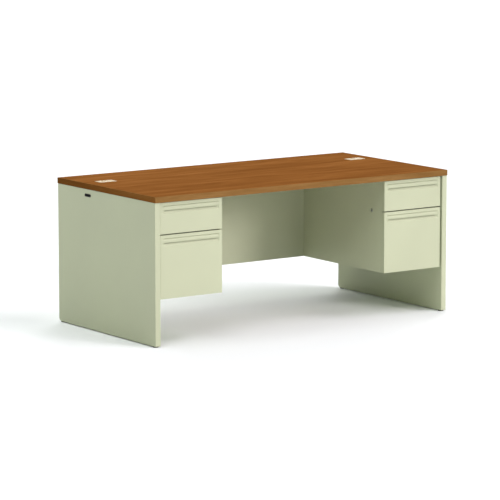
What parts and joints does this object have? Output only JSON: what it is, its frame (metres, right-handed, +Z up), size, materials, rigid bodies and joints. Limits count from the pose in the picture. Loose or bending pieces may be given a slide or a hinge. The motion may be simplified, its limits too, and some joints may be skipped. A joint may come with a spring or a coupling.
{
  "type": "teacher desk",
  "caption": "Double-pedestal teacher desk: laminate worktop on steel end panels, with box and file drawers, modesty panel, pedestal locks, cable grommets and levelling glides.",
  "frame": {"origin": "on the floor, in the middle of the desk", "axes": "+Z up, +X to the right of the person who sits at the desk, -Y towards that person"},
  "size_m": [1.8288, 0.9144, 0.7501],
  "materials": {
    "laminate": "satin wood-grain laminate on particle board",
    "edge_band": "satin wood-grain laminate band",
    "putty_paint": "satin powder coat, greenish putty",
    "slide_zinc": "bright zinc plate",
    "lock_chrome": "polished",
    "lock_steel": "dark nickel",
    "grommet_plastic": "moulded, cream",
    "port_plastic": "moulded, black",
    "glide_rubber": "matte, black"
  },
  "bodies": {
    "desk": {"worktop_core": "laminate", "worktop_edge_band": "edge_band", "modesty_panel": "putty_paint", "left_end_panel_skin": "putty_paint", "left_end_panel_liner": "putty_paint", "left_cable_port": "port_plastic", "left_grommet_sleeve": "grommet_plastic", "left_pedestal_case": "putty_paint", "left_pedestal_back": "putty_paint", "left_lock_barrel": "lock_chrome", "left_box_knee_slide_cabinet_member": "slide_zinc", "left_box_outer_slide_cabinet_member": "slide_zinc", "left_file_knee_slide_cabinet_member": "slide_zinc", "left_file_outer_slide_cabinet_member": "slide_zinc", "right_end_panel_skin": "putty_paint", "right_end_panel_liner": "putty_paint", "right_cable_port": "port_plastic", "right_grommet_sleeve": "grommet_plastic", "right_pedestal_case": "putty_paint", "right_pedestal_back": "putty_paint", "right_lock_barrel": "lock_chrome", "right_box_knee_slide_cabinet_member": "slide_zinc", "right_box_outer_slide_cabinet_member": "slide_zinc", "right_file_knee_slide_cabinet_member": "slide_zinc", "right_file_outer_slide_cabinet_member": "slide_zinc"},
    "left_grommet_cap": {"left_grommet_cap": "grommet_plastic"},
    "left_lock_plug": {"left_lock_plug": "lock_steel"},
    "left_lock_bar": {"left_lock_bar": "slide_zinc"},
    "left_front_glide": {"left_front_glide": "glide_rubber"},
    "left_rear_glide": {"left_rear_glide": "glide_rubber"},
    "left_box_drawer": {"left_box_drawer_front": "putty_paint", "left_box_drawer_pull": "putty_paint", "left_box_drawer_tray": "putty_paint", "left_box_knee_slide_drawer_member": "slide_zinc", "left_box_outer_slide_drawer_member": "slide_zinc"},
    "left_file_drawer": {"left_file_drawer_front": "putty_paint", "left_file_drawer_pull": "putty_paint", "left_file_drawer_tray": "putty_paint", "left_file_knee_slide_drawer_member": "slide_zinc", "left_file_outer_slide_drawer_member": "slide_zinc"},
    "left_file_slide_middles": {"left_file_knee_slide_middle_member": "slide_zinc", "left_file_outer_slide_middle_member": "slide_zinc"},
    "right_grommet_cap": {"right_grommet_cap": "grommet_plastic"},
    "right_lock_plug": {"right_lock_plug": "lock_steel"},
    "right_lock_bar": {"right_lock_bar": "slide_zinc"},
    "right_front_glide": {"right_front_glide": "glide_rubber"},
    "right_rear_glide": {"right_rear_glide": "glide_rubber"},
    "right_box_drawer": {"right_box_drawer_front": "putty_paint", "right_box_drawer_pull": "putty_paint", "right_box_drawer_tray": "putty_paint", "right_box_knee_slide_drawer_member": "slide_zinc", "right_box_outer_slide_drawer_member": "slide_zinc"},
    "right_file_drawer": {"right_file_drawer_front": "putty_paint", "right_file_drawer_pull": "putty_paint", "right_file_drawer_tray": "putty_paint", "right_file_knee_slide_drawer_member": "slide_zinc", "right_file_outer_slide_drawer_member": "slide_zinc"},
    "right_file_slide_middles": {"right_file_knee_slide_middle_member": "slide_zinc", "right_file_outer_slide_middle_member": "slide_zinc"}
  },
  "joints": [
    {"name": "left_front_glide_level", "type": "slide", "parent": "desk", "child": "left_front_glide", "axis": [0, 0, -1], "range_m": [0, 0.02]},
    {"name": "left_rear_glide_level", "type": "slide", "parent": "desk", "child": "left_rear_glide", "axis": [0, 0, -1], "range_m": [0, 0.02]},
    {"name": "left_grommet_cap_lift", "type": "slide", "parent": "desk", "child": "left_grommet_cap", "axis": [0, 0, 1], "range_m": [0, 0.05]},
    {"name": "left_lock_turn", "type": "hinge", "parent": "desk", "child": "left_lock_plug", "pos_m": [-0.5104, -0.337, 0.555], "axis": [1, 0, 0], "range_deg": [0, 90]},
    {"name": "left_lock_bar_lift", "type": "slide", "parent": "desk", "child": "left_lock_bar", "axis": [0, 0, 1], "range_m": [0, 0.0113]},
    {"name": "left_box_drawer_slide", "type": "slide", "parent": "desk", "child": "left_box_drawer", "axis": [0, -1, 0], "range_m": [0, 0.38]},
    {"name": "left_file_drawer_slide", "type": "slide", "parent": "desk", "child": "left_file_drawer", "axis": [0, -1, 0], "range_m": [0, 0.508]},
    {"name": "left_file_middle_slide", "type": "slide", "parent": "desk", "child": "left_file_slide_middles", "axis": [0, -1, 0], "range_m": [0, 0.254]},
    {"name": "right_front_glide_level", "type": "slide", "parent": "desk", "child": "right_front_glide", "axis": [0, 0, -1], "range_m": [0, 0.02]},
    {"name": "right_rear_glide_level", "type": "slide", "parent": "desk", "child": "right_rear_glide", "axis": [0, 0, -1], "range_m": [0, 0.02]},
    {"name": "right_grommet_cap_lift", "type": "slide", "parent": "desk", "child": "right_grommet_cap", "axis": [0, 0, 1], "range_m": [0, 0.05]},
    {"name": "right_lock_turn", "type": "hinge", "parent": "desk", "child": "right_lock_plug", "pos_m": [0.5104, -0.337, 0.555], "axis": [1, 0, 0], "range_deg": [0, 90]},
    {"name": "right_lock_bar_lift", "type": "slide", "parent": "desk", "child": "right_lock_bar", "axis": [0, 0, 1], "range_m": [0, 0.0113]},
    {"name": "right_box_drawer_slide", "type": "slide", "parent": "desk", "child": "right_box_drawer", "axis": [0, -1, 0], "range_m": [0, 0.38]},
    {"name": "right_file_drawer_slide", "type": "slide", "parent": "desk", "child": "right_file_drawer", "axis": [0, -1, 0], "range_m": [0, 0.508]},
    {"name": "right_file_middle_slide", "type": "slide", "parent": "desk", "child": "right_file_slide_middles", "axis": [0, -1, 0], "range_m": [0, 0.254]}
  ],
  "couplings": [
    {"joint": "left_lock_turn", "follows": "left_lock_bar_lift", "rad_per_m": 138.84},
    {"joint": "left_file_middle_slide", "follows": "left_file_drawer_slide", "ratio": 0.5},
    {"joint": "right_lock_turn", "follows": "right_lock_bar_lift", "rad_per_m": 138.84},
    {"joint": "right_file_middle_slide", "follows": "right_file_drawer_slide", "ratio": 0.5}
  ]
}
